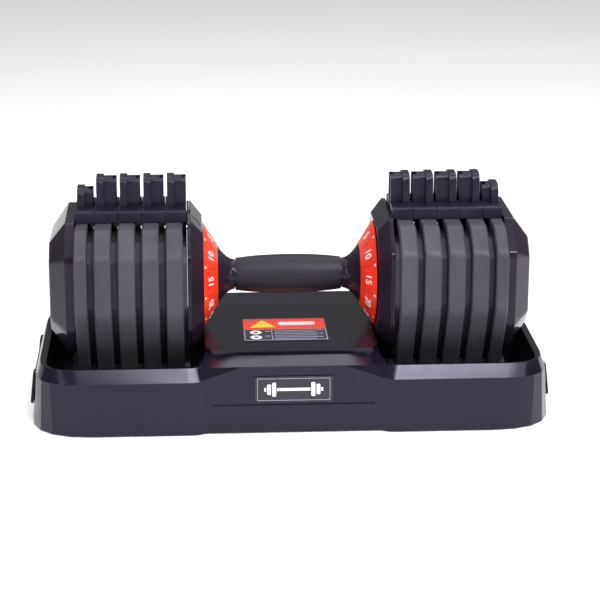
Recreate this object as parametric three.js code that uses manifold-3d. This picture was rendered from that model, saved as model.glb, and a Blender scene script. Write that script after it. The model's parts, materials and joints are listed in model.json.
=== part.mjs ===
// Adjustable dumbbell standing in its docking tray, in millimetres.
// X runs along the handle, +Y is the back, +Z is up, and the rubber feet stand on z = 0.
// Turning the grip drives two selector bars outward through the plates, in six settings.
import * as THREE from "three";
import { ConvexGeometry } from "three/addons/geometries/ConvexGeometry.js";
import { mergeVertices } from "three/addons/utils/BufferGeometryUtils.js";
import Module from "manifold-3d";

const wasm = await Module();
wasm.setup();

// ---- Driving dimensions ----
const GAP = 0.3; // between pieces that touch
const AXIS_Z = 120; // height of the handle's axis
const ROUND_STEPS = 3; // straight lines in a rounded corner
const TURN_SEGMENTS = 40; // facets round a large turned piece

const TRAY = {
  bottomZ: 0.8,
  beltZ: 49, // where the skirt ends and the bevel band begins
  rimZ: 60,
  endX: 237,
  beltInward: 5, // how far the end wall leans in by the belt, and by the rim
  rimInward: 9,
  halfY: 105,
  bayInnerX: 78.8,
  bayOuterX: 222,
  floorZ: 14,
  wall: 3.5,
};
const SADDLE = { halfX: 84, frontY: 101, lean: 0.0622, shoulderX: 46, bandZ: 62, topZ: 67 };
const DECK = { halfX: 78.1, frontY: 76, backY: 101, topZ: 71 };
const LABEL = { x0: -43, x1: 35, y0: -52, y1: 13 };
const FOOT = { x: 185, y: 66, radius: 10, height: 3.5 };

const PLATE_PITCH = 21.4;
const PLATE_COUNT = 5;
const FIRST_PLATE_X = 97.3; // inner face of plate 1
const PLATE_THICKNESS = 15.4;
const LAST_PLATE_THICKNESS = 11.5;
const PLATE_HOLE_RADIUS = 9.5;
const PLATE_CHAMFER = 1.2;
const PLATE_BOTTOM = -92; // from the axis
const PLATE_TOP = 58;

const SHOULDER = { halfY: 30, topZ: 69, inward: 5.6 }; // heights from the axis
const TAB = { topZ: 96, lastTopZ: 86, inward: 4.5, outset: 1.7, flange: 6.5 };
const TONGUE = { depth: 4.4, neck: 3.6, head: 5.6, clearance: 0.4 };
const CORE_TONGUE = { depth: 2.9, neck: 3.6, head: 5.6, bottomZ: 44, topZ: 60 };
// A raised pad on each plate's inner face keeps the plates apart. A groove down its middle lets
// the tongue of the piece before it pass.
const PAD = { inset: 13, bottomZ: -72, topZ: 49, firstTopZ: 42, thickness: 5.4, firstThickness: 3.7 };

const HOUSING = { frontX: 79.5, shoulderX: 90, backX: 91, inset: 12.5, wall: 3.5 };
const BACK_PLATE = { innerX: 91.3, outerX: 93.3 };
const COVER = { innerX: 194.7, shoulderX: 203, outerX: 218.4, inset: 21, wall: 3.5 };

const BAR = { radius: 8, split: 0.4, tipX: 91, length: 165 };
const BAR_STROKE = PLATE_PITCH * PLATE_COUNT; // over half a turn of the grip
const PIN_X = 63; // follower pin, on the far side of the centre at rest
const PIN_RADIUS = 1.8;
const PIN_TIP = 12.1; // how far from the axis the pin reaches
const SPINE = { inner: 8.3, outer: 10, endX: 91 };
const CAM = { inner: 10.3, outer: 12.3, endX: 68.5 };
const SLOT_WIDTH = 4.6;
const BORE = 12.6; // bore of the grip, collars and dials round the cam sleeve

const GRIP = { endX: 49, endRadius: 15, midRadius: 18 };
const COLLAR = { innerX: 49.6, outerX: 65.2, neckRadius: 14, flareRadius: 27.6 };
const DIAL = { innerX: 65.5, outerX: 78.9, innerRadius: 28, outerRadius: 48.4 };
const LOCK_GROOVE = { x: 75.8, inner: 31.5, outer: 36.5, notchOuter: 42, notchWidth: 4.8 };
const SETTING_COUNT = 6;
const SETTING_ANGLE = Math.PI / 5;

const LOCK = { x: 88, pinRadius: 2.5, tipZ: 58.5, headZ: 80, headTopZ: 83, headRadius: 3 };
const FINGER = { innerX: 76.4, bottomZ: 84.2, topZ: 87.8, halfY: 1.8, slotHalfY: 3.5 };
const SPRING = { radius: 1.9, wire: 0.6, bottomZ: 83.7, topZ: 91.3, turns: 6 };
const SPRING_SEAT_Z = 92;

// ---- Solids from three.js geometry ----
function toSolid(geometry) {
  const bare = new THREE.BufferGeometry();
  bare.setAttribute("position", geometry.getAttribute("position"));
  bare.setIndex(geometry.index);
  const merged = mergeVertices(bare, 1e-4);
  const vertProperties = new Float32Array(merged.attributes.position.array);
  const triVerts = new Uint32Array(merged.index.array);
  const solid = new wasm.Manifold(new wasm.Mesh({ numProp: 3, vertProperties, triVerts }));
  if (solid.volume() > 0) return solid;
  const turned = new Uint32Array(triVerts).reverse();
  return new wasm.Manifold(new wasm.Mesh({ numProp: 3, vertProperties, triVerts: turned }));
}

function toGeometry(solid) {
  const mesh = solid.getMesh();
  const geometry = new THREE.BufferGeometry();
  geometry.setAttribute("position", new THREE.BufferAttribute(mesh.vertProperties, 3));
  geometry.setIndex(new THREE.BufferAttribute(mesh.triVerts, 1));
  geometry.computeVertexNormals();
  return geometry;
}

const union = (...solids) => solids.reduce((whole, next) => whole.add(next));
const mirrorX = (solid) => solid.mirror([1, 0, 0]);
const mirrorY = (solid) => solid.mirror([0, 1, 0]);
const halfTurn = (solid) => solid.rotate([0, 0, 180]);
const atAxis = (solid) => solid.translate([0, 0, AXIS_Z]);

function block(x0, x1, y0, y1, z0, z1) {
  const geometry = new THREE.BoxGeometry(x1 - x0, y1 - y0, z1 - z0);
  geometry.translate((x0 + x1) / 2, (y0 + y1) / 2, (z0 + z1) / 2);
  return toSolid(geometry);
}

// A round pin along an axis: "x", "y" or "z".
function rod(radius, start, end, axis, segments = 24) {
  const geometry = new THREE.CylinderGeometry(radius, radius, end - start, segments);
  geometry.translate(0, (start + end) / 2, 0);
  if (axis === "x") geometry.rotateZ(-Math.PI / 2);
  if (axis === "z") geometry.rotateX(Math.PI / 2);
  return toSolid(geometry);
}

// A ring turned about X from a closed profile of [x, radius] points.
function turned(profile, segments = TURN_SEGMENTS) {
  const points = profile.map(([x, radius]) => new THREE.Vector2(radius, x));
  points.push(points[0].clone());
  const geometry = new THREE.LatheGeometry(points, segments);
  geometry.rotateZ(-Math.PI / 2);
  return toSolid(geometry);
}

function tube(inner, outer, x0, x1, segments = TURN_SEGMENTS) {
  return turned([[x0, inner], [x0, outer], [x1, outer], [x1, inner]], segments);
}

// An outline drawn in (y, z) and extruded along X.
function prismX(corners, x0, x1) {
  const shape = new THREE.Shape(corners.map(([y, z]) => new THREE.Vector2(y, z)));
  const geometry = new THREE.ExtrudeGeometry(shape, { depth: x1 - x0, bevelEnabled: false });
  const toX = new THREE.Matrix4().makeBasis(
    new THREE.Vector3(0, 1, 0),
    new THREE.Vector3(0, 0, 1),
    new THREE.Vector3(1, 0, 0),
  );
  geometry.applyMatrix4(toX);
  geometry.translate(x0, 0, 0);
  return toSolid(geometry);
}

// An outline drawn in (x, y) and extruded up from z0 to z1.
function prismZ(corners, z0, z1) {
  const shape = new THREE.Shape(corners.map(([x, y]) => new THREE.Vector2(x, y)));
  const geometry = new THREE.ExtrudeGeometry(shape, { depth: z1 - z0, bevelEnabled: false });
  geometry.translate(0, 0, z0);
  return toSolid(geometry);
}

// Corners with each replaced by a short curve that starts and ends `cut` before and after it.
function roundCorners(corners, cuts, steps = ROUND_STEPS) {
  const count = corners.length;
  return corners.flatMap((corner, i) => {
    const cut = Array.isArray(cuts) ? cuts[i] : cuts;
    const here = new THREE.Vector2(...corner);
    const before = new THREE.Vector2(...corners[(i + count - 1) % count]);
    const after = new THREE.Vector2(...corners[(i + 1) % count]);
    const start = here.clone().add(before.sub(here).setLength(cut));
    const end = here.clone().add(after.sub(here).setLength(cut));
    const curve = new THREE.QuadraticBezierCurve(start, here, end);
    return curve.getPoints(steps).map((point) => [point.x, point.y]);
  });
}

// The same convex outline moved inward by a distance, listed counterclockwise.
function inset(corners, distance) {
  const count = corners.length;
  return corners.map((corner, i) => {
    const here = new THREE.Vector2(...corner);
    const arriving = here.clone().sub(new THREE.Vector2(...corners[(i + count - 1) % count])).normalize();
    const leaving = new THREE.Vector2(...corners[(i + 1) % count]).sub(here).normalize();
    const normals = new THREE.Vector2(-arriving.y - leaving.y, arriving.x + leaving.x);
    const scale = distance / (1 + arriving.dot(leaving));
    return [here.x + normals.x * scale, here.y + normals.y * scale];
  });
}

// A skin over rings of equal length, each counterclockwise about the way they are stacked.
function loft(rings) {
  const count = rings[0].length;
  const index = [];
  for (let ring = 0; ring + 1 < rings.length; ring++) {
    for (let i = 0; i < count; i++) {
      const next = (i + 1) % count;
      const low = ring * count;
      const high = low + count;
      index.push(low + i, low + next, high + next, low + i, high + next, high + i);
    }
  }
  const top = (rings.length - 1) * count;
  for (let i = 1; i + 1 < count; i++) {
    index.push(0, i + 1, i, top, top + i, top + i + 1);
  }
  const geometry = new THREE.BufferGeometry();
  geometry.setAttribute("position", new THREE.Float32BufferAttribute(rings.flat(2), 3));
  geometry.setIndex(index);
  return toSolid(geometry);
}

// Sections of [x, corners in (y, z)], or of [z, corners in (x, y)], stacked into a loft.
const loftX = (sections) => loft(sections.map(([x, ring]) => ring.map(([y, z]) => [x, y, z])));
const loftZ = (sections) => loft(sections.map(([z, ring]) => ring.map(([x, y]) => [x, y, z])));

// ---- Tray ----
// Plan of one bay's outside: the far corners are round, the near ones turn in to the saddle.
function bayOutline(innerX, outerX, halfY, cornerCut) {
  const turnX = innerX + 14;
  const turnY = halfY - 8;
  const corners = [
    [innerX, -turnY],
    [turnX, -halfY],
    [outerX, -halfY],
    [outerX, halfY],
    [turnX, halfY],
    [innerX, turnY],
  ];
  return roundCorners(corners, [1, 6, cornerCut, cornerCut, 6, 1], 5);
}

function bayOutside(shrink) {
  const start = shrink > 0 ? -1 : TRAY.bottomZ;
  const { endX, beltInward, rimInward, halfY } = TRAY;
  return loftZ([
    [start, bayOutline(72, endX - shrink, halfY - shrink, 58)],
    [TRAY.beltZ - shrink / 2, bayOutline(74, endX - beltInward - shrink, halfY - 4 - shrink, 40)],
    [TRAY.rimZ - shrink, bayOutline(76, endX - rimInward - shrink, halfY - 12 - shrink, 34)],
  ]);
}

function rectangle(x0, x1, halfY, cut) {
  return roundCorners([[x0, -halfY], [x1, -halfY], [x1, halfY], [x0, halfY]], cut, 5);
}

function bayCavity(grow) {
  const { bayInnerX, bayOuterX, floorZ } = TRAY;
  return loftZ([
    [floorZ - grow, rectangle(bayInnerX - grow, bayOuterX - 8 + grow, 84 + grow, 20)],
    [TRAY.rimZ, rectangle(bayInnerX - grow, bayOuterX + grow, 90 + grow, 22)],
    [DECK.topZ + 10, rectangle(bayInnerX - grow, bayOuterX + grow, 90 + grow, 22)],
  ]);
}

const frontAt = (z) => SADDLE.frontY - SADDLE.lean * (z - TRAY.bottomZ);

// The block between the bays, whose top edge ramps down at both ends to meet the bay rims.
function saddleBlock(shrink) {
  const { halfX, shoulderX, bandZ, topZ } = SADDLE;
  const start = shrink > 0 ? -1 : TRAY.bottomZ;
  const front = [
    [halfX, SADDLE.frontY, start],
    [halfX, frontAt(TRAY.beltZ), TRAY.beltZ],
    [shoulderX, frontAt(bandZ), bandZ],
    [halfX, TRAY.halfY - 12, TRAY.rimZ],
    [shoulderX, 82, topZ],
    [halfX, 66, topZ],
  ];
  const back = [
    [halfX, SADDLE.frontY, start],
    [halfX, frontAt(TRAY.rimZ), TRAY.rimZ],
    [halfX, DECK.backY, topZ],
  ];
  const frontCorners = front.map(([x, y, z]) => [x, shrink - y, z]);
  const backCorners = back.map(([x, y, z]) => [x, y - shrink, z]);
  const points = [...frontCorners, ...backCorners].flatMap(([x, y, z]) => {
    const low = z > TRAY.bottomZ ? z - shrink : z;
    return [1, -1].map((end) => new THREE.Vector3(end * (x - shrink), y, low));
  });
  return toSolid(new ConvexGeometry(points));
}

// Turns a solid drawn as (across, into the face, up the face) onto the leaning front.
function onFront(solid) {
  const lean = THREE.MathUtils.radToDeg(Math.atan(SADDLE.lean));
  return solid.rotate([-lean, 0, 0]).translate([0, -SADDLE.frontY, TRAY.bottomZ]);
}

const PANEL = { bottom: 25.5, top: 53, bottomX: 73, topX: 46, depth: 1.5 };
const BADGE = { halfX: 35, bottom: 28, top: 52, depth: 1.2 };

function frontPanelCut() {
  const { bottom, top, bottomX, topX, depth } = PANEL;
  const outline = [[-bottomX, bottom], [bottomX, bottom], [topX, top], [-topX, top]];
  const upright = prismZ(outline, 0, depth + 3);
  return onFront(upright.rotate([90, 0, 0]).translate([0, depth, 0]));
}

function trayShell() {
  const bay = bayOutside(0);
  const deckPlan = rectangle(-DECK.halfX, DECK.halfX, (DECK.frontY + DECK.backY) / 2, 14);
  const deckY = (DECK.backY - DECK.frontY) / 2;
  const deck = prismZ(deckPlan, SADDLE.topZ - 2, DECK.topZ).translate([0, deckY, 0]);
  const outside = union(bay, mirrorX(bay), saddleBlock(0), deck);
  const cavity = bayCavity(0);
  const cavities = cavity.add(mirrorX(cavity));
  const wide = bayCavity(TRAY.wall);
  const innerBay = bayOutside(TRAY.wall);
  const hollow = union(innerBay, mirrorX(innerBay), saddleBlock(TRAY.wall))
    .subtract(wide.add(mirrorX(wide)));
  let tray = outside.subtract(cavities).subtract(hollow);
  for (const x of [-FOOT.x, FOOT.x]) {
    for (const y of [-FOOT.y, FOOT.y]) {
      const boss = rod(FOOT.radius + 1, FOOT.height + GAP, TRAY.floorZ - 2, "z").translate([x, y, 0]);
      tray = tray.add(boss);
    }
  }
  return tray.subtract(frontPanelCut());
}

function badge() {
  const { halfX, bottom, top, depth } = BADGE;
  return onFront(block(-halfX, halfX, 0, depth, bottom, top));
}

function deckLabel() {
  const low = DECK.topZ + 0.1;
  const { x0, x1, y0, y1 } = LABEL;
  return prismZ(roundCorners([[x0, y0], [x1, y0], [x1, y1], [x0, y1]], 2, 2), low, low + 0.5);
}

function foot(x, y) {
  return rod(FOOT.radius, 0, FOOT.height, "z").translate([x, y, 0]);
}

const END_GRIP = { halfY: 56, bottomZ: 16, topZ: 46, proud: 1.6, endProud: 2.8, endLength: 12 };
const RIB = { count: 13, pitch: 6.4, groove: 2.4, depth: 0.7 };

// A ribbed rubber strip on the leaning end wall of the right bay, thicker at both ends.
function endGrip() {
  const { halfY, bottomZ, topZ, proud, endProud, endLength } = END_GRIP;
  const lean = TRAY.beltInward / (TRAY.beltZ - TRAY.bottomZ);
  const wallX = (z) => TRAY.endX - lean * (z - TRAY.bottomZ);
  const strip = (inner, outer, y0, y1, z0, z1) => {
    const profile = [
      [wallX(z0) + inner, z0],
      [wallX(z0) + outer, z0 + 1],
      [wallX(z1) + outer, z1 - 1],
      [wallX(z1) + inner, z1],
    ];
    // The outline is drawn as (x, z), extruded, and turned so that it runs along Y.
    return prismZ(profile, -y1, -y0).rotate([90, 0, 0]);
  };
  let solid = union(
    strip(GAP, proud, -halfY, halfY, bottomZ, topZ),
    strip(GAP, endProud, -halfY, -halfY + endLength, bottomZ, topZ),
    strip(GAP, endProud, halfY - endLength, halfY, bottomZ, topZ),
  );
  for (let rib = 0; rib < RIB.count; rib++) {
    const y = (rib - (RIB.count - 1) / 2) * RIB.pitch;
    const half = RIB.groove / 2;
    const inner = proud - RIB.depth;
    solid = solid.subtract(strip(inner, proud + 2, y - half, y + half, bottomZ + 3, topZ - 3));
  }
  return solid;
}

// ---- Cradles and unlock posts ----
const plateX = (k) => FIRST_PLATE_X + k * PLATE_PITCH;
const plateEndX = (k) => plateX(k) + (k < PLATE_COUNT - 1 ? PLATE_THICKNESS : LAST_PLATE_THICKNESS);

function cradleRib(centreX) {
  const half = 2.6;
  const outline = [[-44, 26], [44, 26], [30, 44], [-30, 44]];
  return prismX(outline, centreX - half, centreX + half);
}

function cradle() {
  const innerX = FIRST_PLATE_X - 5.7;
  const outerX = plateEndX(PLATE_COUNT - 1) + 5.7;
  const low = TRAY.floorZ + GAP;
  const seatZ = AXIS_Z + PLATE_BOTTOM - GAP;
  let solid = block(innerX, outerX, -54, 54, low, seatZ);
  solid = solid.subtract(block(innerX + 4, outerX - 4, -48, 48, low - 1, seatZ - 4));
  for (let k = 0; k < PLATE_COUNT; k++) {
    solid = solid.add(cradleRib(plateX(k) - 3));
  }
  solid = solid.add(cradleRib(plateEndX(PLATE_COUNT - 1) + 3));
  const rail = block(innerX, outerX, 48, 54, seatZ - 1, 38);
  return union(solid, rail, mirrorY(rail));
}

function unlockPost() {
  const low = TRAY.floorZ + GAP;
  const base = block(LOCK.x - 3.6, LOCK.x + 3, -14, 14, low, low + 4);
  const post = rod(3, low + 2, LOCK.tipZ - GAP, "z", 20).translate([LOCK.x, 0, 0]);
  const web = prismX([[-12, low + 3], [12, low + 3], [2.6, 46], [-2.6, 46]], LOCK.x - 1.5, LOCK.x + 1.5);
  return union(base, post, web);
}

// ---- Plates, tab brackets and covers: drawn about the axis, then raised ----
const PLATE_CORNERS = [
  [36, PLATE_BOTTOM],
  [80, -14],
  [80, 38],
  [55, PLATE_TOP],
  [-55, PLATE_TOP],
  [-80, 38],
  [-80, -14],
  [-36, PLATE_BOTTOM],
];
const OCTAGON = [
  [40, -61.5],
  [66, -34],
  [66, 34],
  [40, 61.5],
  [-40, 61.5],
  [-66, 34],
  [-66, -34],
  [-40, -61.5],
];
const octagon = (distance, cut) => roundCorners(inset(OCTAGON, distance), cut, 2);

function plate(k) {
  const x0 = plateX(k);
  const x1 = plateEndX(k);
  const edge = roundCorners(inset(PLATE_CORNERS, PLATE_CHAMFER), 7);
  const full = roundCorners(PLATE_CORNERS, 8);
  const body = loftX([
    [x0, edge],
    [x0 + PLATE_CHAMFER, full],
    [x1 - PLATE_CHAMFER, full],
    [x1, edge],
  ]);
  const padX = x0 - (k === 0 ? PAD.firstThickness : PAD.thickness);
  const padTop = k === 0 ? PAD.firstTopZ : PAD.topZ;
  const window = block(padX - 1, x1, -80, 80, PAD.bottomZ, padTop);
  const pad = prismX(roundCorners(inset(PLATE_CORNERS, PAD.inset), 5), padX, x0 + 1).intersect(window);
  const grooveY = TONGUE.head + 2 * TONGUE.clearance;
  const groove = block(padX - 1, x0, -grooveY, grooveY, PAD.bottomZ - 1, PAD.topZ + 1);
  const hole = rod(PLATE_HOLE_RADIUS, padX - 1, x1 + 1, "x");
  return body.add(pad.subtract(groove)).subtract(hole);
}

// A dovetail seen from above: narrow at its root, wider at its far end.
function dovetail(rootX, depth, neck, head, z0, z1) {
  const corners = [[rootX, -neck], [rootX + depth, -head], [rootX + depth, head], [rootX, neck]];
  return prismZ(corners, z0, z1);
}

// The shoulder block and locating tab of one plate. A dovetail slot up its inner side takes the
// tongue of the piece before it, so each plate slides up and down on its neighbours.
function tabBracket(k) {
  const plateInner = plateX(k);
  const plateOuter = plateEndX(k);
  const first = k === 0;
  const last = k === PLATE_COUNT - 1;
  const low = PLATE_TOP + GAP;
  const innerX = first ? BACK_PLATE.outerX + TONGUE.clearance : plateInner - SHOULDER.inward;
  const shoulder = [
    [-SHOULDER.halfY, low],
    [SHOULDER.halfY, low],
    [SHOULDER.halfY - 2, SHOULDER.topZ],
    [-SHOULDER.halfY + 2, SHOULDER.topZ],
  ];
  const tabTop = last ? TAB.lastTopZ : TAB.topZ;
  const tabOuter = plateOuter - TAB.outset;
  const rootZ = SHOULDER.topZ - 3;
  const flange = roundCorners([[-15, rootZ], [15, rootZ], [13.5, tabTop], [-13.5, tabTop]], [1, 1, 8, 8]);
  const stemTop = tabTop - 1;
  const stem = roundCorners([[-10, rootZ], [10, rootZ], [9, stemTop], [-9, stemTop]], [1, 1, 6, 6]);
  let solid = union(
    prismX(roundCorners(shoulder, [0.5, 0.5, 3, 3], 2), innerX, plateOuter),
    prismX(flange, tabOuter - TAB.flange, tabOuter),
    prismX(stem, Math.max(plateInner - TAB.inward, innerX), tabOuter - 1),
  );
  const held = first ? CORE_TONGUE : TONGUE;
  const slack = TONGUE.clearance;
  if (first) {
    const jaws = block(innerX, plateInner - slack, -16, 16, CORE_TONGUE.bottomZ, low + 1);
    solid = solid.add(jaws);
  }
  const rootX = first ? BACK_PLATE.outerX : plateEndX(k - 1);
  const slot = dovetail(
    rootX,
    held.depth + slack,
    held.neck + slack,
    held.head + 2 * slack,
    CORE_TONGUE.bottomZ - 2,
    TAB.topZ + 1,
  );
  solid = solid.subtract(slot);
  if (last) return solid;
  const { depth, neck, head } = TONGUE;
  return solid.add(dovetail(plateOuter - 0.5, depth + 0.5, neck, head, low + 1, SHOULDER.topZ - 2));
}

function outerCover() {
  const { innerX, shoulderX, outerX, wall } = COVER;
  const outside = loftX([
    [innerX, octagon(0, 4)],
    [shoulderX, octagon(0, 4)],
    [outerX - 1, octagon(COVER.inset - 1.6, 2.5)],
    [outerX, octagon(COVER.inset, 2.5)],
  ]);
  const inside = loftX([
    [innerX - 1, octagon(wall, 3)],
    [shoulderX - 1, octagon(wall, 3)],
    [outerX - wall, octagon(COVER.inset - 1, 2)],
  ]);
  return outside.subtract(inside);
}

// ---- Core: housings, back plates, spine and bushes ----
function housingBulk(distance, x0, x1) {
  const { shoulderX } = HOUSING;
  return loftX([
    [x0, octagon(HOUSING.inset + distance, 2.5)],
    [shoulderX + (distance ? 1 : 0), octagon(distance, 3.5)],
    [x1, octagon(distance, 3.5)],
  ]);
}

function innerHousing() {
  const { frontX, backX, wall } = HOUSING;
  const shell = housingBulk(0, frontX, backX).subtract(housingBulk(wall, frontX + wall, backX + 2));
  const seatZ = SPRING_SEAT_Z - AXIS_Z;
  const seat = block(frontX + 2, LOCK.x + 3, -6, 6, seatZ, seatZ + 4);
  const hub = tube(SPINE.outer + GAP, SPINE.outer + 4, frontX + 1, backX - 4);
  const spineHole = rod(SPINE.outer + GAP, frontX - 1, frontX + 5, "x", TURN_SEGMENTS);
  const pinHole = rod(LOCK.pinRadius + 0.5, -64, -44, "z", 16).translate([LOCK.x, 0, 0]);
  const fingerSlot = block(
    frontX - 1,
    frontX + wall + 1,
    -FINGER.slotHalfY,
    FINGER.slotHalfY,
    FINGER.bottomZ - AXIS_Z - 6,
    FINGER.topZ - AXIS_Z + 1,
  );
  return union(shell, seat, hub).subtract(spineHole).subtract(pinHole).subtract(fingerSlot);
}

function backPlate() {
  const { innerX, outerX } = BACK_PLATE;
  const { depth, neck, head, bottomZ, topZ } = CORE_TONGUE;
  const sheet = loftX([[innerX, octagon(0, 3.5)], [outerX, octagon(0, 3.5)]]);
  const tongue = dovetail(outerX - 0.5, depth + 0.5, neck, head, bottomZ + 1, topZ);
  return sheet.add(tongue).subtract(rod(BAR.radius + 1, innerX - 1, outerX + 1, "x"));
}

// Tube fixed to both housings, slotted straight on both sides for the follower pins.
function spineTube() {
  const whole = tube(SPINE.inner, SPINE.outer, -SPINE.endX, SPINE.endX);
  const half = SLOT_WIDTH / 2;
  const slot = block(-PIN_X - 3, BAR_STROKE - PIN_X + 3, 4, 12, -half, half);
  return whole.subtract(slot).subtract(halfTurn(slot));
}

const bush = () => tube(CAM.inner, CAM.outer, CAM.endX + GAP, HOUSING.frontX - GAP);

// ---- Handle: grip, collars, dials and the cam sleeve ----
function gripSleeve() {
  const { endX, endRadius, midRadius } = GRIP;
  const profile = [];
  const steps = 14;
  for (let i = 0; i <= steps; i++) {
    const t = (2 * i) / steps - 1;
    const crown = endRadius + (midRadius - endRadius) * (1 - Math.abs(t) ** 2.4);
    profile.push([t * endX, crown]);
  }
  return turned([[-endX, BORE], ...profile, [endX, BORE]]);
}

function neckCollar() {
  const { innerX, outerX, neckRadius, flareRadius } = COLLAR;
  const steps = 8;
  const flare = [];
  for (let i = 0; i <= steps; i++) {
    const t = i / steps;
    flare.push([innerX + t * (outerX - innerX), neckRadius + (flareRadius - neckRadius) * t ** 2]);
  }
  return turned([[innerX, BORE], ...flare, [outerX, BORE]]);
}

function dial() {
  const { innerX, outerX, innerRadius, outerRadius } = DIAL;
  const { x, inner, outer, notchOuter, notchWidth } = LOCK_GROOVE;
  let solid = turned([
    [innerX, BORE],
    [innerX, innerRadius],
    [outerX - 1, outerRadius - 1],
    [outerX - 0.6, outerRadius],
    [outerX, outerRadius],
    [outerX, outer],
    [x, outer],
    [x, inner],
    [outerX, inner],
    [outerX, BORE],
  ], 60);
  for (let setting = 0; setting < SETTING_COUNT; setting++) {
    const notch = block(x, outerX + 1, outer - 1, notchOuter, -notchWidth / 2, notchWidth / 2);
    const degrees = -90 + THREE.MathUtils.radToDeg(setting * SETTING_ANGLE);
    solid = solid.subtract(notch.rotate([degrees, 0, 0]));
  }
  return solid;
}

// A cutter swept along a helix, from just before its start to just past its end. The sleeve turns
// backwards about X, so in its own frame the follower pin goes forwards.
function helixCutter(startX, startAngle, travel) {
  const steps = 36;
  const overshoot = 0.07;
  const half = SLOT_WIDTH / 2;
  const rings = [];
  const slope = travel / Math.PI;
  for (let i = 0; i <= steps; i++) {
    const turn = -overshoot + ((Math.PI + 2 * overshoot) * i) / steps;
    const x = startX + slope * turn;
    const angle = startAngle + turn;
    const ring = [[9, -half], [14, -half], [14, half], [9, half]].map(([radius, across]) => [
      x,
      radius * Math.cos(angle) - across * Math.sin(angle),
      radius * Math.sin(angle) + across * Math.cos(angle),
    ]);
    rings.push(ring);
  }
  return loft(rings);
}

function camSleeve() {
  const whole = tube(CAM.inner, CAM.outer, -CAM.endX, CAM.endX);
  return whole
    .subtract(helixCutter(-PIN_X, 0, BAR_STROKE))
    .subtract(helixCutter(PIN_X, Math.PI, -BAR_STROKE));
}

// ---- Selector bars and lock pins ----
const PIN_SEAT = 4; // how far from the axis the follower pin starts

function selectorBar() {
  const { radius, split, tipX, length } = BAR;
  const round = rod(radius, tipX - length, tipX - 2, "x", 32);
  const nose = new THREE.CylinderGeometry(radius - 1.6, radius, 2, 32);
  nose.rotateZ(-Math.PI / 2);
  nose.translate(tipX - 1, 0, 0);
  const half = block(tipX - length - 1, tipX + 1, split, radius + 1, -radius - 1, radius + 1);
  const hole = rod(PIN_RADIUS + GAP, PIN_SEAT - GAP, radius + 1, "y", 16).translate([-PIN_X, 0, 0]);
  return round.add(toSolid(nose)).intersect(half).subtract(hole);
}

function followerPin() {
  return rod(PIN_RADIUS, PIN_SEAT, PIN_TIP, "y", 16).translate([-PIN_X, 0, 0]);
}

// The pin's arm carries a finger that reaches through the housing into the back of the dial.
function lockPin() {
  const { x, pinRadius, tipZ, headZ, headTopZ, headRadius } = LOCK;
  const { innerX, bottomZ, topZ, halfY } = FINGER;
  const stemX = HOUSING.frontX + HOUSING.wall + 0.5;
  const shaft = rod(pinRadius, tipZ, headZ + 1, "z", 16).translate([x, 0, 0]);
  const head = rod(headRadius, headZ, headTopZ, "z", 20).translate([x, 0, 0]);
  const spigot = rod(1, headZ, headTopZ + 4, "z", 12).translate([x, 0, 0]);
  const arm = block(stemX, x, -halfY, halfY, headZ, headTopZ);
  const stem = block(stemX, stemX + 2, -halfY, halfY, headZ, topZ);
  const finger = block(innerX, stemX + 2, -halfY, halfY, bottomZ, topZ);
  return union(shaft, head, spigot, arm, stem, finger);
}

class Coil extends THREE.Curve {
  getPoint(t) {
    const angle = 2 * Math.PI * SPRING.turns * t;
    const z = SPRING.bottomZ + (SPRING.topZ - SPRING.bottomZ) * t;
    return new THREE.Vector3(SPRING.radius * Math.cos(angle), SPRING.radius * Math.sin(angle), z);
  }
}

function lockSpring() {
  const section = new THREE.Shape();
  section.absarc(0, 0, SPRING.wire / 2, 0, 2 * Math.PI);
  const wire = new THREE.ExtrudeGeometry(section, {
    steps: 12 * SPRING.turns,
    curveSegments: 3,
    extrudePath: new Coil(),
  });
  return toSolid(wire).translate([LOCK.x, 0, 0]);
}

// ---- Assembly ----
const moulding = new THREE.MeshStandardMaterial({ color: 0x35333d, roughness: 0.35, metalness: 0 });
const plateCoat = new THREE.MeshStandardMaterial({ color: 0x3c3c44, roughness: 0.55, metalness: 0 });
const gloss = new THREE.MeshStandardMaterial({ color: 0x16161c, roughness: 0.15, metalness: 0 });
const gripRubber = new THREE.MeshStandardMaterial({ color: 0x202024, roughness: 0.8, metalness: 0 });
const dialPlastic = new THREE.MeshStandardMaterial({ color: 0xe8391b, roughness: 0.35, metalness: 0 });
const rubber = new THREE.MeshStandardMaterial({ color: 0x18181a, roughness: 0.9, metalness: 0 });
const labelFilm = new THREE.MeshStandardMaterial({ color: 0xd8d8dc, roughness: 0.5, metalness: 0 });
const steel = new THREE.MeshStandardMaterial({ color: 0xb8babd, roughness: 0.3, metalness: 1 });
const bracketPlastic = new THREE.MeshStandardMaterial({ color: 0x26242c, roughness: 0.45, metalness: 0 });
const darkSteel = new THREE.MeshStandardMaterial({ color: 0x2c2c30, roughness: 0.4, metalness: 1 });

const dumbbell = new THREE.Group();

function add(name, solid, material) {
  const mesh = new THREE.Mesh(toGeometry(solid), material);
  mesh.name = name;
  dumbbell.add(mesh);
}

// Adds a right-hand solid and its mirror image.
function addPair(name, solid, material, mirror = mirrorX) {
  add(name + "_right", solid, material);
  add(name + "_left", mirror(solid), material);
}

add("tray_shell", trayShell(), moulding);
add("name_badge", badge(), gloss);
add("deck_label", deckLabel(), labelFilm);
addPair("end_grip", endGrip(), rubber);
addPair("foot_front", foot(FOOT.x, -FOOT.y), rubber);
addPair("foot_rear", foot(FOOT.x, FOOT.y), rubber);
addPair("cradle", cradle(), moulding);
addPair("unlock_post", unlockPost(), moulding);

addPair("inner_housing", atAxis(innerHousing()), gloss);
addPair("housing_back_plate", atAxis(backPlate()), gloss);
add("spine_tube", atAxis(spineTube()), steel);
addPair("bush", atAxis(bush()), moulding);
addPair("lock_pin", lockPin(), steel);
addPair("lock_spring", lockSpring(), steel);

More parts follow.
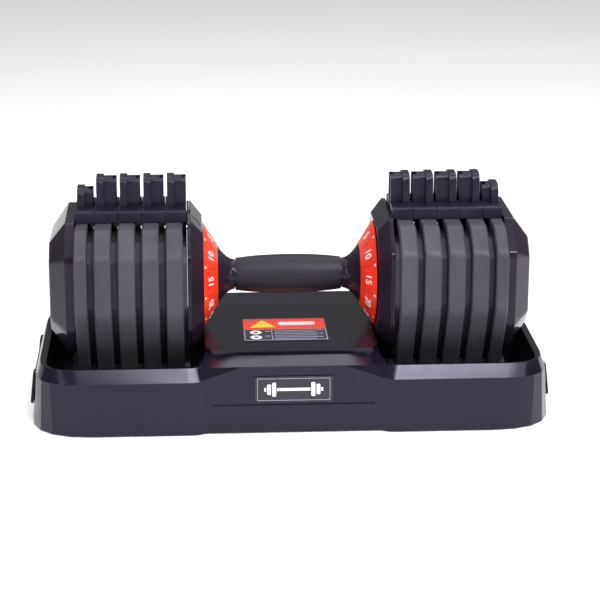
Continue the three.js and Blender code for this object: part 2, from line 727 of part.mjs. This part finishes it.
add("grip_sleeve", atAxis(gripSleeve()), gripRubber);
add("cam_sleeve", atAxis(camSleeve()), darkSteel);
addPair("neck_collar", atAxis(neckCollar()), gloss);
addPair("dial", atAxis(dial()), dialPlastic);
addPair("selector_bar", atAxis(selectorBar()), steel, halfTurn);
addPair("follower_pin", atAxis(followerPin()), steel, halfTurn);

for (let k = 0; k < PLATE_COUNT; k++) {
  addPair(`plate_${k + 1}`, atAxis(plate(k)), plateCoat);
  addPair(`tab_bracket_${k + 1}`, atAxis(tabBracket(k)), bracketPlastic);
}
addPair("outer_cover", atAxis(outerCover()), gloss);

export default dumbbell;
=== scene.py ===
"""Looks for the adjustable dumbbell in its docking tray, in metres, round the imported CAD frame.

The CAD nodes keep their shapes. Here they get finishes and softened edges, and the printed and
fitted details are added: dial numbers, index marks, badge, deck label and bracket screws.
"""

import json
import math

import bmesh
import bpy
from mathutils import Matrix, Vector


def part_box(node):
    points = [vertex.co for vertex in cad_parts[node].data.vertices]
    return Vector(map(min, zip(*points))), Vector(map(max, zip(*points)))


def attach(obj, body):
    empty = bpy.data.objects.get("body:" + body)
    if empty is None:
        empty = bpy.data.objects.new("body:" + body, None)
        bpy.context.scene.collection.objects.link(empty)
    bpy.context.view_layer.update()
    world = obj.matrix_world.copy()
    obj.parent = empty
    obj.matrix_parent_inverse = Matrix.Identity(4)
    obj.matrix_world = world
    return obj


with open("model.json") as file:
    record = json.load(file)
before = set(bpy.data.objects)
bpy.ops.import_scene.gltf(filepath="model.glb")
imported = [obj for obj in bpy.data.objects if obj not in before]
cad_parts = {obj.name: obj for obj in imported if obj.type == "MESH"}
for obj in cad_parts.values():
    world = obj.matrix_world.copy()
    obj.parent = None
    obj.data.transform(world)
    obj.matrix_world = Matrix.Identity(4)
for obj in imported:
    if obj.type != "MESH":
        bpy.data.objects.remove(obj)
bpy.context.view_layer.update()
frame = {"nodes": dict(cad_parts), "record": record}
nodes = frame["nodes"]

SIDES = {"right": 1, "left": -1}
PLATES = range(1, 6)
MM = 0.001
AXIS_Z = (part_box("spine_tube")[0].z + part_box("spine_tube")[1].z) / 2
AXIS = Vector((0, 0, AXIS_Z))

# Colours, linear
TINT = (0.82, 0.78, 0.98)  # the violet cast of the black mouldings' sheen
TRAY_COLOUR = (0.006, 0.005, 0.012)
PLATE_COLOUR = (0.050, 0.047, 0.060)
GLOSS_COLOUR = (0.018, 0.012, 0.022)
GRIP_COLOUR = (0.015, 0.013, 0.017)
RUBBER_COLOUR = (0.014, 0.013, 0.016)
BRACKET_COLOUR = (0.008, 0.007, 0.016)
CRADLE_COLOUR = (0.008, 0.007, 0.011)
LABEL_COLOUR = (0.040, 0.036, 0.054)
BADGE_COLOUR = (0.010, 0.008, 0.018)
DIAL_COLOUR = (0.92, 0.042, 0.012)
BUSH_COLOUR = (0.55, 0.54, 0.5)
STEEL_COLOUR = (0.62, 0.62, 0.64)
# steel darkened to paint the shade in the narrow gap between grip and collar, where the cam
# sleeve shows
GAP_SHADED_STEEL_COLOUR = (0.09, 0.09, 0.10)
CHROME_COLOUR = (0.8, 0.8, 0.82)

# Edges: least angle in degrees that makes an edge worth rounding, and widths in millimetres
BEVEL_ANGLE = 34
TRAY_BEVEL_ANGLE = 19
EDGE_ROUND = {
    "tray_shell": 0.9,
    "plate_": 0.45,
    "tab_bracket_": 0.7,
    "inner_housing_": 0.7,
    "outer_cover_": 0.8,
    "dial_": 0.35,
    "neck_collar_": 0.4,
    "grip_sleeve": 0.7,
    "cradle_": 0.5,
    "end_grip_": 0.4,
    "foot_": 0.5,
    "name_badge": 0.3,
}
HIDDEN_ROUND = 0.15

# Dials: what is printed on the cone, with distances up its slant
NUMBERS = ("5", "10", "15", "20", "25", "30")
INDEX_ANGLE = math.radians(78)  # from the front, towards the top
SETTING = math.radians(36)  # from one number to the next
NUMBER_HEIGHT = 8.2 * MM
NUMBER_FOOT = 8.2 * MM
NUMBER_DEPTH = 0.4 * MM
NUMBER_WEIGHT = 0.12 * MM  # added all round each stroke
NUMBER_WIDTH = 0.86  # of the font's own width
CAPITAL_SHARE = 0.7  # height of a numeral over the font's size
LINE_SIZE = (0.5 * MM, 19 * MM)
LINE_MIDDLE = 13 * MM
POINTER_TIP = 19.4 * MM
POINTER_BASE = 22.6 * MM
POINTER_HALF = 1.5 * MM
PRINT_SUNK = 0.1 * MM
CONE_INNER_RADIUS = 28 * MM
CONE_OUTER_RADIUS = 47.4 * MM
CONE_RIM = 1 * MM  # the narrow rim beyond the printed cone

# Index line on the sloping front face of each housing, measured in and up from the face's foot
HOUSING_INSET = 12.5 * MM  # the foot lies this far under the housing's top
INDEX_START = (1.4 * MM, 1.7 * MM)
INDEX_END = (9.4 * MM, 11.2 * MM)
INDEX_Y = -11.5 * MM
INDEX_WIDTH = 1.3 * MM

# Tray front, and the thickness of each printed layer on the label
FRONT_LEAN = math.atan(0.0622)  # the tray's front leans back by this angle
FILM = 0.18 * MM

# Bracket screws
SCREW_Y = 27 * MM
SCREW_DROP = 4.6 * MM  # under the top of the plate
SCREW_RADIUS = 2.3 * MM
SCREW_FACE_RADIUS = 1.7 * MM
SOCKET_RADIUS = 1.0 * MM
SOCKET_DEPTH = 0.9 * MM
SCREW_SUNK = 0.5 * MM
FIRST_SCREW_PROUD = 2.6 * MM
SCREW_PROUD = 4.4 * MM

# Room, lights and camera
FLOOR_REACH = 6.0
FLOOR_GLOW = 0.3
ROOM_LEVEL = 0.22
BACKDROP_LEVEL = 1.1
LIGHTS = {  # place, aim, size and power in watts
    "overhead": ((0, 0.1, 1.5), (0, 0, 0.1), (2.2, 1.6), 17),
    "front_left": ((-1.3, -1.4, 0.9), (0, 0, 0.1), (0.4, 1.2), 9),
    "front_right": ((1.4, -1.2, 0.8), (0, 0, 0.1), (0.3, 1.2), 9),
    # This one mirrors in the bevel band round the tray's rim.
    "high_front": ((0.5, -1.15, 1.7), (0, 0, 0.05), (1.4, 0.3), 36),
    "high_back": ((0.1, 1.3, 1.75), (0, 0, 0.05), (1.2, 0.4), 5),
}
CAMERA_AZIMUTH = math.radians(-3)
CAMERA_ELEVATION = math.radians(16.5)
CAMERA_DISTANCE = 1.9
CAMERA_LENS = 122.5
AXIS_SHIFT = (0.0200, -0.0448)  # puts the picture's middle off the handle's axis


# ---- Materials ----
class Finish:
    """A Principled material and short ways to wire procedural detail into it."""

    def __init__(self, name, roughness, metallic=0.0, specular=0.5, tint=(1, 1, 1)):
        self.material = bpy.data.materials.new(name)
        self.material.use_nodes = True
        self.tree = self.material.node_tree
        self.shader = self.tree.nodes["Principled BSDF"]
        self.shader.inputs["Roughness"].default_value = roughness
        self.shader.inputs["Metallic"].default_value = metallic
        self.shader.inputs["Specular IOR Level"].default_value = specular
        self.shader.inputs["Specular Tint"].default_value = (*tint, 1)
        self.place = self.node("ShaderNodeTexCoord").outputs["Object"]
        self.normal = None

    def node(self, kind):
        return self.tree.nodes.new(kind)

    def link(self, start, end):
        self.tree.links.new(start, end)

    def stretched(self, scale):
        mapping = self.node("ShaderNodeMapping")
        mapping.inputs["Scale"].default_value = scale
        self.link(self.place, mapping.inputs["Vector"])
        return mapping.outputs["Vector"]

    def noise(self, scale, detail=4.0, stretch=None):
        texture = self.node("ShaderNodeTexNoise")
        texture.inputs["Scale"].default_value = scale
        texture.inputs["Detail"].default_value = detail
        place = self.stretched(stretch) if stretch else self.place
        self.link(place, texture.inputs["Vector"])
        return texture.outputs["Fac"]

    def cells(self, scale):
        texture = self.node("ShaderNodeTexVoronoi")
        texture.inputs["Scale"].default_value = scale
        self.link(self.place, texture.inputs["Vector"])
        return texture.outputs["Distance"]

    def colours(self, source, first, second, low_at=0.3, high_at=0.7):
        ramp = self.node("ShaderNodeValToRGB")
        ramp.color_ramp.elements[0].position = low_at
        ramp.color_ramp.elements[0].color = (*first, 1)
        ramp.color_ramp.elements[1].position = high_at
        ramp.color_ramp.elements[1].color = (*second, 1)
        self.link(source, ramp.inputs["Fac"])
        self.link(ramp.outputs["Color"], self.shader.inputs["Base Color"])

    def roughness(self, source, low, high):
        span = self.node("ShaderNodeMapRange")
        limits = {"From Min": 0.3, "From Max": 0.7, "To Min": low, "To Max": high}
        for key, value in limits.items():
            span.inputs[key].default_value = value
        self.link(source, span.inputs["Value"])
        self.link(span.outputs["Result"], self.shader.inputs["Roughness"])

    def bump(self, source, strength, depth):
        bump = self.node("ShaderNodeBump")
        bump.inputs["Strength"].default_value = strength
        bump.inputs["Distance"].default_value = depth
        self.link(source, bump.inputs["Height"])
        if self.normal is not None:
            self.link(self.normal, bump.inputs["Normal"])
        self.normal = bump.outputs["Normal"]
        self.link(self.normal, self.shader.inputs["Normal"])


def shade(colour, amount):
    return tuple(channel * amount for channel in colour)


def moulded(name, colour, low, high, grain=0.15, specular=0.5, tint=(1, 1, 1)):
    """Injection-moulded plastic: faint flow marks, a fine grain and handling smears in the gloss.

    low and high are the limits of its roughness, grain the strength of its finest bump.
    """
    finish = Finish(name, (low + high) / 2, specular=specular, tint=tint)
    finish.colours(finish.noise(22, 3, (1, 1, 2.5)), shade(colour, 0.86), shade(colour, 1.16))
    finish.roughness(finish.noise(60, 6, (1, 1.6, 0.6)), low, high)
    finish.bump(finish.noise(18, 2), 0.03, 0.4 * MM)
    finish.bump(finish.noise(1600, 2), grain, 0.05 * MM)
    return finish.material


def powder_coat(name, colour):
    """Sprayed powder on cast plates: orange-peel pimples, cloudy sheen and dusty patches."""
    finish = Finish(name, 0.5, specular=0.35, tint=TINT)
    cloud = finish.noise(30, 5, (1, 1, 0.5))
    finish.colours(cloud, shade(colour, 0.84), shade(colour, 1.2), 0.35, 0.68)
    finish.roughness(finish.noise(85, 6), 0.4, 0.58)
    finish.bump(finish.noise(130, 3), 0.12, 0.4 * MM)
    finish.bump(finish.cells(1300), 0.22, 0.09 * MM)
    return finish.material


def rubbery(name, colour, low, high):
    """Soft-touch rubber: a close stipple with slightly polished patches where it is held."""
    finish = Finish(name, high, specular=0.35, tint=TINT)
    finish.colours(finish.noise(45, 4), shade(colour, 0.8), shade(colour, 1.25))
    finish.roughness(finish.noise(28, 4, (0.6, 1, 1)), low, high)
    finish.bump(finish.cells(900), 0.35, 0.12 * MM)
    finish.bump(finish.noise(2400, 2), 0.2, 0.04 * MM)
    return finish.material


def plated(name, colour, low, high, along):
    """Zinc-plated steel with drawing lines along one direction."""
    finish = Finish(name, (low + high) / 2, metallic=1.0)
    finish.colours(finish.noise(40, 5), shade(colour, 0.88), shade(colour, 1.08))
    finish.roughness(finish.noise(300, 3, along), low, high)
    finish.bump(finish.noise(700, 2, along), 0.12, 0.03 * MM)
    return finish.material


def printed(name, colour):
    """Screen-printed ink: nearly even, with a faint mottle and a low relief."""
    finish = Finish(name, 0.38)
    finish.colours(finish.noise(160, 4), shade(colour, 0.94), shade(colour, 1.03))
    finish.roughness(finish.noise(220, 3), 0.32, 0.46)
    finish.bump(finish.noise(900, 2), 0.08, 0.03 * MM)
    return finish.material


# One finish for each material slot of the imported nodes
finishes = {
    "tray_moulding": moulded("tray_moulding", TRAY_COLOUR, 0.2, 0.25, 0.08, 0.36, TINT),
    "plate_coat": powder_coat("plate_coat", PLATE_COLOUR),
    "gloss_black": moulded("gloss_black", GLOSS_COLOUR, 0.08, 0.15, 0.03, 0.2, TINT),
    "grip_rubber": rubbery("grip_rubber", GRIP_COLOUR, 0.42, 0.6),
    "dial_plastic": moulded("dial_plastic", DIAL_COLOUR, 0.28, 0.38, 0.1),
    "bush_plastic": moulded("bush_plastic", BUSH_COLOUR, 0.4, 0.5),
    "rubber_black": rubbery("rubber_black", RUBBER_COLOUR, 0.6, 0.8),
    "label_film": moulded("label_film", LABEL_COLOUR, 0.24, 0.34, 0.05),
    "bracket_plastic": moulded("bracket_plastic", BRACKET_COLOUR, 0.34, 0.46, 0.25, 0.35, TINT),
    "steel": plated("steel", STEEL_COLOUR, 0.16, 0.3, (0.06, 1, 1)),
    # The cam sleeve's steel, darkened as painted shade for the gap it shows through.
    "dark_steel": plated("dark_steel", GAP_SHADED_STEEL_COLOUR, 0.25, 0.4, (0.06, 1, 1)),
}
badge_black = moulded("badge_black", BADGE_COLOUR, 0.2, 0.28, 0.05)
cradle_plastic = moulded("cradle_plastic", CRADLE_COLOUR, 0.6, 0.75, 0.3)
chrome = plated("screw_chrome", CHROME_COLOUR, 0.08, 0.16, (1, 1, 1))
ink_white = printed("ink_white", (0.82, 0.82, 0.84))
ink_red = printed("ink_red", (0.88, 0.065, 0.035))
ink_red_dark = printed("ink_red_dark", (0.5, 0.02, 0.008))
ink_yellow = printed("ink_yellow", (0.85, 0.66, 0.05))
ink_grey = printed("ink_grey", (0.42, 0.40, 0.50))
ink_dark = printed("ink_dark", (0.012, 0.009, 0.02))

# Nodes whose look differs from the rest of their slot
OWN_FINISH = {
    "name_badge": badge_black,
    "cradle_": cradle_plastic,
    "unlock_post_": cradle_plastic,
}


# ---- CAD nodes: finishes and softened edges ----
def by_prefix(table, name, fallback):
    """The table's entry whose key begins the name, or the fallback."""
    for prefix, value in table.items():
        if name.startswith(prefix):
            return value
    return fallback


def soften(obj, width, least_angle):
    """Rounds the sharp edges of a faceted mesh and smooths the shading across its curves."""
    for polygon in obj.data.polygons:
        polygon.use_smooth = True
    weld = obj.modifiers.new("weld", "WELD")
    weld.merge_threshold = 0.002 * MM
    bevel = obj.modifiers.new("soft_edges", "BEVEL")
    bevel.width = width
    bevel.segments = 2
    bevel.limit_method = "ANGLE"
    bevel.angle_limit = math.radians(least_angle)
    shading = obj.modifiers.new("even_shading", "WEIGHTED_NORMAL")
    shading.weight = 70


def dress_cad():
    slots = {part["node"]: part["material_slot"] for part in frame["record"]["subparts"]}
    for name, obj in nodes.items():
        obj.data.materials.clear()
        obj.data.materials.append(by_prefix(OWN_FINISH, name, finishes[slots[name]]))
        width = by_prefix(EDGE_ROUND, name, HIDDEN_ROUND) * MM
        soften(obj, width, TRAY_BEVEL_ANGLE if name == "tray_shell" else BEVEL_ANGLE)


# ---- Small added pieces ----
def finish_piece(name, mesh, material, body):
    obj = bpy.data.objects.new(name, mesh)
    bpy.context.scene.collection.objects.link(obj)
    mesh.materials.clear()
    mesh.materials.append(material)
    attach(obj, body)
    return obj


def closed_mesh(name, built):
    """Turns a finished bmesh into a mesh whose faces point outward."""
    bmesh.ops.recalc_face_normals(built, faces=built.faces)
    mesh = bpy.data.meshes.new(name)
    built.to_mesh(mesh)
    built.free()
    return mesh


def flat_mesh(name, outlines, low, high, place=Matrix.Identity(4)):
    """Outlines drawn in (x, y), each standing from low to high along Z, then placed."""
    built = bmesh.new()
    for outline in outlines:
        bottom = [built.verts.new(place @ Vector((x, y, low))) for x, y in outline]
        top = [built.verts.new(place @ Vector((x, y, high))) for x, y in outline]
        built.faces.new(top)
        built.faces.new(list(reversed(bottom)))
        for i in range(len(outline)):
            j = (i + 1) % len(outline)
            built.faces.new((bottom[i], bottom[j], top[j], top[i]))
    return closed_mesh(name, built)


def circle(built, place, radius, height, segments):
    """New vertices round local Z; a radius of 0 gives the one point on it."""
    if radius == 0:
        return [built.verts.new(place @ Vector((0, 0, height)))]
    points = []
    for i in range(segments):
        angle = 2 * math.pi * i / segments
        point = Vector((radius * math.cos(angle), radius * math.sin(angle), height))
        points.append(built.verts.new(place @ point))
    return points


def turned_mesh(name, profile, place, segments, closed=False):
    """A solid turned about local Z from (radius, height) points, joined into a ring if closed."""
    built = bmesh.new()
    rings = [circle(built, place, radius, height, segments) for radius, height in profile]
    if closed:
        rings.append(rings[0])
    for first, second in zip(rings, rings[1:]):
        for i in range(segments):
            j = (i + 1) % segments
            corners = [first[i % len(first)], first[j % len(first)]]
            corners += [second[j % len(second)], second[i % len(second)]]
            built.faces.new(list(dict.fromkeys(corners)))
    return closed_mesh(name, built)


def rounded_box(cx, cy, width, height, radius=0.0, steps=4):
    """Corners of a rectangle with round corners, counterclockwise, in metres."""
    if radius <= 0:
        return [
            (cx + sx * width / 2, cy + sy * height / 2)
            for sx, sy in ((-1, -1), (1, -1), (1, 1), (-1, 1))
        ]
    points = []
    for sx, sy, start in ((1, -1, -90), (1, 1, 0), (-1, 1, 90), (-1, -1, 180)):
        ox = cx + sx * (width / 2 - radius)
        oy = cy + sy * (height / 2 - radius)
        for step in range(steps + 1):
            angle = math.radians(start + 90 * step / steps)
            points.append((ox + radius * math.cos(angle), oy + radius * math.sin(angle)))
    return points


def frame_lines(cx, cy, width, height, line):
    """Four thin bars round a rectangle."""
    return [
        rounded_box(cx, cy + height / 2, width + line, line),
        rounded_box(cx, cy - height / 2, width + line, line),
        rounded_box(cx - width / 2, cy, line, height - line),
        rounded_box(cx + width / 2, cy, line, height - line),
    ]


# ---- Dials: numbers, separators and pointers, laid on the cone ----
dial_low, dial_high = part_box("dial_right")
CONE_START = dial_low.x
CONE_LENGTH = dial_high.x - CONE_RIM - CONE_START
CONE_RISE = CONE_OUTER_RADIUS - CONE_INNER_RADIUS
CONE_SLANT = math.hypot(CONE_LENGTH, CONE_RISE)


def on_cone(side, angle, along, lift):
    """A point on the dial's cone: angle from the front, distance up the slant, height off it."""
    share = along / CONE_SLANT
    x = CONE_START + CONE_LENGTH * share - lift * CONE_RISE / CONE_SLANT
    radius = CONE_INNER_RADIUS + CONE_RISE * share + lift * CONE_LENGTH / CONE_SLANT
    return Vector((side * x, -radius * math.cos(angle), AXIS_Z + radius * math.sin(angle)))


def wrap_on_cone(mesh, side, centre_angle, base_along):
    """Bends a flat mesh onto the cone: its x runs round the dial, y up the slant, z off it."""
    for vertex in mesh.vertices:
        u, v, lift = vertex.co
        along = base_along + v
        radius = CONE_INNER_RADIUS + CONE_RISE * along / CONE_SLANT
        # Seen from the middle of the handle the text reads upright, tops outward.
        vertex.co = on_cone(side, centre_angle - side * u / radius, along, lift)
    built = bmesh.new()
    built.from_mesh(mesh)
    bmesh.ops.remove_doubles(built, verts=built.verts, dist=0.004 * MM)
    bmesh.ops.recalc_face_normals(built, faces=built.faces)
    built.to_mesh(mesh)
    built.free()


def number_mesh(text):
    """Solid numerals, centred across and standing on y = 0."""
    curve = bpy.data.curves.new("number", "FONT")
    curve.body = text
    curve.align_x = "CENTER"
    curve.size = NUMBER_HEIGHT / CAPITAL_SHARE
    curve.extrude = NUMBER_DEPTH / 2
    curve.resolution_u = 4
    curve.offset = NUMBER_WEIGHT
    holder = bpy.data.objects.new("number", curve)
    bpy.context.scene.collection.objects.link(holder)
    bpy.context.view_layer.update()
    graph = bpy.context.evaluated_depsgraph_get()
    mesh = bpy.data.meshes.new_from_object(holder.evaluated_get(graph))
    bpy.data.objects.remove(holder)
    for vertex in mesh.vertices:
        vertex.co.x *= NUMBER_WIDTH
    return mesh


def dress_dial(side_name):
    side = SIDES[side_name]

    def put(name, mesh, angle, base_along, material):
        wrap_on_cone(mesh, side, angle, base_along)
        finish_piece(f"dial_{name}_{side_name}", mesh, material, "handle")

    separator = rounded_box(0, LINE_MIDDLE, *LINE_SIZE)
    pointer = [(-POINTER_HALF, POINTER_BASE), (0, POINTER_TIP), (POINTER_HALF, POINTER_BASE)]
    for k, text in enumerate(NUMBERS):
        angle = INDEX_ANGLE - k * SETTING
        between = angle - SETTING / 2
        put(f"number_{text}", number_mesh(text), angle, NUMBER_FOOT, ink_white)
        line = flat_mesh("line", [separator], -PRINT_SUNK, 0.12 * MM)
        put(f"line_{k}", line, between, 0, ink_red_dark)
        mark = flat_mesh("pointer", [pointer], -PRINT_SUNK, 0.2 * MM)
        put(f"pointer_{k}", mark, between, 0, ink_white)


# ---- Index line on each housing, above the number that is set ----
def index_line(side_name):
    side = SIDES[side_name]
    low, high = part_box(f"inner_housing_{side_name}")
    foot_x = min(abs(low.x), abs(high.x))
    foot_z = high.z - HOUSING_INSET
    start = Vector((side * (foot_x + INDEX_START[0]), INDEX_Y, foot_z + INDEX_START[1]))
    end = Vector((side * (foot_x + INDEX_END[0]), INDEX_Y, foot_z + INDEX_END[1]))
    along = (end - start).normalized()
    across = Vector((0, 1, 0))
    out = across.cross(along) * -side
    place = Matrix((across, along, out)).transposed().to_4x4()
    place.translation = (start + end) / 2
    outline = rounded_box(0, 0, INDEX_WIDTH, (end - start).length)
    mesh = flat_mesh(f"index_line_{side_name}", [outline], 0, 0.2 * MM, place)
    finish_piece(f"index_line_{side_name}", mesh, ink_dark, "core")


# ---- Deck label: a red band, pale frame and rules, two rings; no lettering ----
def deck_label():
    low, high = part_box("deck_label")
    middle = Vector(((low.x + high.x) / 2, (low.y + high.y) / 2, high.z - 0.02 * MM))
    place = Matrix.Translation(middle)
    width = high.x - low.x
    depth = high.y - low.y

    def put(name, outlines, material, lift=0.0):
        mesh = flat_mesh(name, outlines, 0, FILM, place @ Matrix.Translation((0, 0, lift)))
        finish_piece(name, mesh, material, "tray")

    # The band, with a bare triangle and a pale bar lying on it
    band = depth * 0.46
    band_y = depth / 2 - band / 2 - 1 * MM
    put("label_band", [rounded_box(0, band_y, width - 1.6 * MM, band, 1 * MM)], ink_red)
    bar = rounded_box(width * 0.15, band_y, width * 0.44, band * 0.3, 2 * MM)
    put("label_band_bar", [bar], ink_white, FILM)
    sign_x = -width * 0.26
    sign_half = band * 0.36
    sign = [
        (sign_x - sign_half * 1.1, band_y - sign_half),
        (sign_x + sign_half * 1.1, band_y - sign_half),
        (sign_x, band_y + sign_half),
    ]
    put("label_band_sign", [sign], ink_yellow, FILM)

    # The framed field below it, with a divider and rows of rules to its right
    field = depth - band - 3.5 * MM
    field_y = -depth / 2 + field / 2 + 1.2 * MM
    border = frame_lines(0, field_y, width - 2.6 * MM, field, 0.7 * MM)
    put("label_frame", border, ink_grey)
    divider_x = -width * 0.16
    rules = [rounded_box(divider_x, field_y, 0.6 * MM, field - 1.6 * MM)]
    rule_left = divider_x + 2.2 * MM
    for row in range(6):
        y = field_y + field * (0.36 - 0.15 * row)
        length = width * (0.58 if row % 2 == 0 else 0.5)
        rules.append(rounded_box(rule_left + length / 2, y, length, 0.9 * MM))
    put("label_rules", rules, ink_grey)

    # Two rings to the left of the divider, each with a dash beside it
    outer = 5.4 * MM
    inner = 2.2 * MM
    profile = [(outer, 0), (outer, FILM), (inner, FILM), (inner, 0)]
    for number, share in enumerate((0.22, -0.24)):
        centre = place @ Matrix.Translation((-width * 0.35, field_y + field * share, 0))
        ring = turned_mesh(f"label_ring_{number}", profile, centre, 28, closed=True)
        finish_piece(f"label_ring_{number}", ring, ink_white, "tray")
        dash = rounded_box(-width * 0.21, field_y + field * (share + 0.1), 5 * MM, 1.2 * MM)
        put(f"label_dash_{number}", [dash], ink_grey)


# ---- Badge: a plain dumbbell pictogram and a thin border, on the leaning tray front ----
def badge():
    low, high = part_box("name_badge")
    width = high.x - low.x
    height = high.z - low.z
    top_y = low.y + height * math.tan(FRONT_LEAN)
    middle = Vector((0, (low.y + top_y) / 2, (low.z + high.z) / 2 - 0.04 * MM))
    turn = Matrix.Rotation(math.radians(90) - FRONT_LEAN, 4, "X")
    place = Matrix.Translation(middle) @ turn
    icon = [rounded_box(0, 0, 30 * MM, 2.6 * MM)]
    for side in (-1, 1):
        icon.append(rounded_box(side * 17.6 * MM, 0, 3.6 * MM, 13 * MM, 1.2 * MM))
        icon.append(rounded_box(side * 22.2 * MM, 0, 3.4 * MM, 9.6 * MM, 1.2 * MM))
        icon.append(rounded_box(side * 25.6 * MM, 0, 1.8 * MM, 3.4 * MM, 0.6 * MM))
    pictogram = flat_mesh("badge_pictogram", icon, 0, 0.25 * MM, place)
    finish_piece("badge_pictogram", pictogram, ink_white, "tray")
    lines = frame_lines(0, 0, width - 5 * MM, height - 4 * MM, 0.35 * MM)
    border = flat_mesh("badge_border", lines, 0, 0.2 * MM, place)
    finish_piece("badge_border", border, ink_grey, "tray")


# ---- Bracket screws: pan heads in the gap on the inner face of each plate ----
def screw(name, place, proud, body):
    profile = [
        (0, -SCREW_SUNK),
        (SCREW_RADIUS, -SCREW_SUNK),
        (SCREW_RADIUS, proud - 0.7 * MM),
        (SCREW_FACE_RADIUS, proud),
        (SOCKET_RADIUS, proud),
        (SOCKET_RADIUS, proud - SOCKET_DEPTH),
        (0, proud - SOCKET_DEPTH),
    ]
    mesh = turned_mesh(name, profile, place, 20)
    for polygon in mesh.polygons:
        polygon.use_smooth = True
    obj = finish_piece(name, mesh, chrome, body)
    edges = obj.modifiers.new("soft_edges", "BEVEL")
    edges.width = 0.15 * MM
    edges.segments = 2
    edges.limit_method = "ANGLE"
    obj.modifiers.new("even_shading", "WEIGHTED_NORMAL")


def bracket_screws(side_name):
    side = SIDES[side_name]
    turn = Matrix.Rotation(math.radians(-90 * side), 4, "Y")
    for k in PLATES:
        plate = f"plate_{k}_{side_name}"
        low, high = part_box(plate)
        face_x = min(abs(low.x), abs(high.x)) * side
        proud = FIRST_SCREW_PROUD if k == 1 else SCREW_PROUD
        for where, y in (("front", -SCREW_Y), ("rear", SCREW_Y)):
            place = Matrix.Translation((face_x, y, high.z - SCREW_DROP)) @ turn
            screw(f"screw_{where}_{k}_{side_name}", place, proud, plate)


# ---- Floor, light and camera ----
def floor():
    mesh = bpy.data.meshes.new("floor")
    corners = [(x, y, 0) for x, y in rounded_box(0, 0, 2 * FLOOR_REACH, 2 * FLOOR_REACH)]
    mesh.from_pydata(corners, [], [(0, 1, 2, 3)])
    obj = bpy.data.objects.new("floor", mesh)
    bpy.context.scene.collection.objects.link(obj)
    finish = Finish("floor", 0.75, specular=0.2)
    finish.colours(finish.noise(2.5, 2), (0.88, 0.88, 0.89), (0.92, 0.92, 0.93))
    finish.shader.inputs["Emission Color"].default_value = (1, 1, 1, 1)
    finish.shader.inputs["Emission Strength"].default_value = FLOOR_GLOW
    mesh.materials.append(finish.material)


def area_light(name, place, aim, size, power):
    data = bpy.data.lights.new(name, "AREA")
    data.shape = "RECTANGLE"
    data.size, data.size_y = size
    data.energy = power
    obj = bpy.data.objects.new(name, data)
    bpy.context.scene.collection.objects.link(obj)
    obj.location = place
    towards = Vector(aim) - Vector(place)
    obj.rotation_euler = towards.to_track_quat("-Z", "Y").to_euler()


def studio():
    world = bpy.data.worlds.new("studio")
    bpy.context.scene.world = world
    world.use_nodes = True
    background = world.node_tree.nodes["Background"]
    background.inputs["Color"].default_value = (1, 1, 1, 1)
    # The backdrop is seen white, and lights the scene only softly.
    rays = world.node_tree.nodes.new("ShaderNodeLightPath")
    level = world.node_tree.nodes.new("ShaderNodeMapRange")
    level.inputs["To Min"].default_value = ROOM_LEVEL
    level.inputs["To Max"].default_value = BACKDROP_LEVEL
    world.node_tree.links.new(rays.outputs["Is Camera Ray"], level.inputs["Value"])
    world.node_tree.links.new(level.outputs["Result"], background.inputs["Strength"])
    for name, (place, aim, size, power) in LIGHTS.items():
        area_light(name, place, aim, size, power)


def camera():
    data = bpy.data.cameras.new("camera")
    data.sensor_width = 36
    data.lens = CAMERA_LENS
    data.shift_x, data.shift_y = AXIS_SHIFT
    data.clip_end = 50
    obj = bpy.data.objects.new("camera", data)
    bpy.context.scene.collection.objects.link(obj)
    back = Vector((
        math.sin(CAMERA_AZIMUTH) * math.cos(CAMERA_ELEVATION),
        -math.cos(CAMERA_AZIMUTH) * math.cos(CAMERA_ELEVATION),
        math.sin(CAMERA_ELEVATION),
    ))
    obj.location = AXIS + back * CAMERA_DISTANCE
    obj.rotation_euler = (-back).to_track_quat("-Z", "Y").to_euler()
    bpy.context.scene.camera = obj


dress_cad()
for side_name in SIDES:
    dress_dial(side_name)
for side_name in SIDES:
    index_line(side_name)
deck_label()
badge()
for side_name in SIDES:
    bracket_screws(side_name)
floor()
studio()
camera()
bpy.context.scene.view_settings.view_transform = "Standard"
